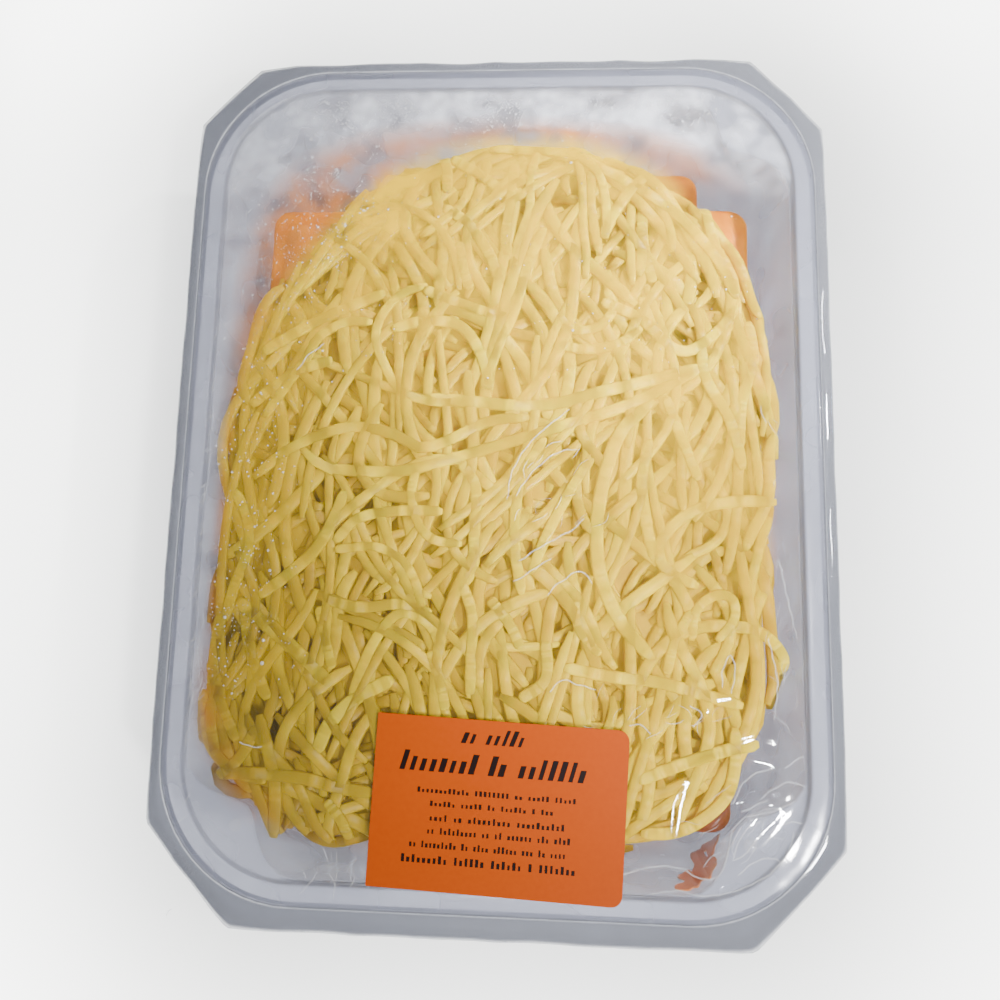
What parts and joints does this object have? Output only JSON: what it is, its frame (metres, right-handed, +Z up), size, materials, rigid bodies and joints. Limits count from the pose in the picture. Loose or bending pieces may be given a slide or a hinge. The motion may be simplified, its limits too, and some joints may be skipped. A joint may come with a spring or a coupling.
{
  "type": "packed ravioli dish",
  "caption": "Ravioli in tomato sauce under a heap of grated cheese, in a clear rounded tray sealed with a clear film lid that has slanted corners and a blank orange label.",
  "frame": {"origin": "middle of the footprint, on the surface the tray stands on", "axes": "+X across the tray's width, +Y along its length away from the label, +Z up"},
  "size_m": [0.1676, 0.2216, 0.0451],
  "materials": {
    "clear_plastic": "thermoformed clear plastic with a faint lavender grey cast",
    "clear_film": "clear heat-sealed film, glossy, fogged by condensation inside",
    "label_paper": "orange coated label paper, blank",
    "pasta": "cooked pasta stained by sauce",
    "tomato_sauce": "wet tomato sauce",
    "grated_cheese": "pale yellow semi-hard cheese, waxy"
  },
  "bodies": {
    "root": {"tray": "clear_plastic", "sauce_bed": "tomato_sauce", "ravioli_01": "pasta", "ravioli_02": "pasta", "ravioli_03": "pasta", "ravioli_04": "pasta", "ravioli_05": "pasta", "ravioli_06": "pasta", "ravioli_07": "pasta", "ravioli_08": "pasta", "ravioli_09": "pasta", "ravioli_10": "pasta", "ravioli_11": "pasta", "ravioli_12": "pasta", "ravioli_13": "pasta", "ravioli_14": "pasta", "cheese": "grated_cheese", "film_lid": "clear_film", "label": "label_paper"}
  },
  "joints": []
}
